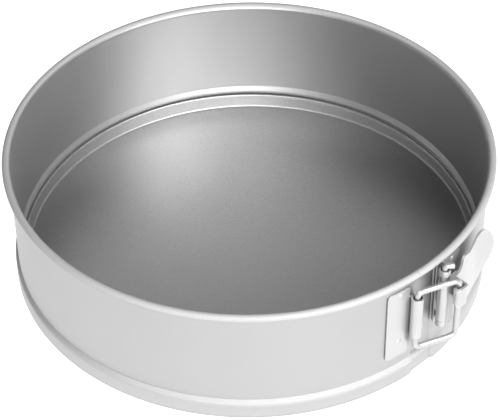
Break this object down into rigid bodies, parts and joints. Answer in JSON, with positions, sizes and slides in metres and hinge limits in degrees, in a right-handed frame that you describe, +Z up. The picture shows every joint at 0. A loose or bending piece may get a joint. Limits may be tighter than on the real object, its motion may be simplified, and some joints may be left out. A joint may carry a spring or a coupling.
{
  "type": "springform pan",
  "caption": "Round springform cake pan: dished loose base in a rolled-rim side band closed by a wire loop and swinging lever clasp.",
  "frame": {"origin": "centre of the base plate's underside, on the table", "axes": "+Z up out of the pan, -Y towards the viewer, the clasp between +X and -Y"},
  "size_m": [0.2486, 0.2486, 0.069],
  "materials": {
    "pan_sheet": "satin, fine-grained",
    "clasp_steel": "bright plated",
    "rim_wire": "plain drawn wire"
  },
  "bodies": {
    "base": {"base_plate": "pan_sheet"},
    "band_left": {"band_left": "pan_sheet", "rim_wire_left": "rim_wire", "hinge_plate": "clasp_steel", "hinge_plate_rivets": "clasp_steel"},
    "band_right": {"band_right": "pan_sheet", "rim_wire_right": "rim_wire", "lever_bracket": "clasp_steel", "bracket_rivets": "clasp_steel", "pivot_pin": "clasp_steel"},
    "loop": {"wire_loop": "clasp_steel"},
    "lever": {"lever": "clasp_steel"}
  },
  "joints": [
    {"name": "ring_lift", "type": "slide", "parent": "base", "child": "band_left", "axis": [0, 0, 1], "range_m": [0, 0.09]},
    {"name": "lever_swing", "type": "hinge", "parent": "band_right", "child": "lever", "pos_m": [0.09178, -0.08726, 0.044], "axis": [0, 0, -1], "range_deg": [0, 90]},
    {"name": "band_open", "type": "hinge", "parent": "band_left", "child": "band_right", "pos_m": [-0.07996, 0.0953, 0.035], "axis": [0, 0, 1], "range_deg": [0, 2.3]},
    {"name": "loop_swing", "type": "hinge", "parent": "band_left", "child": "loop", "pos_m": [0.07863, -0.09716, 0.04], "axis": [0, 0, 1], "range_deg": [0, 3.7]}
  ],
  "couplings": [
    {"joint": "band_open", "follows": "lever_swing", "ratio": 0.0255},
    {"joint": "loop_swing", "follows": "lever_swing", "ratio": 0.04}
  ]
}
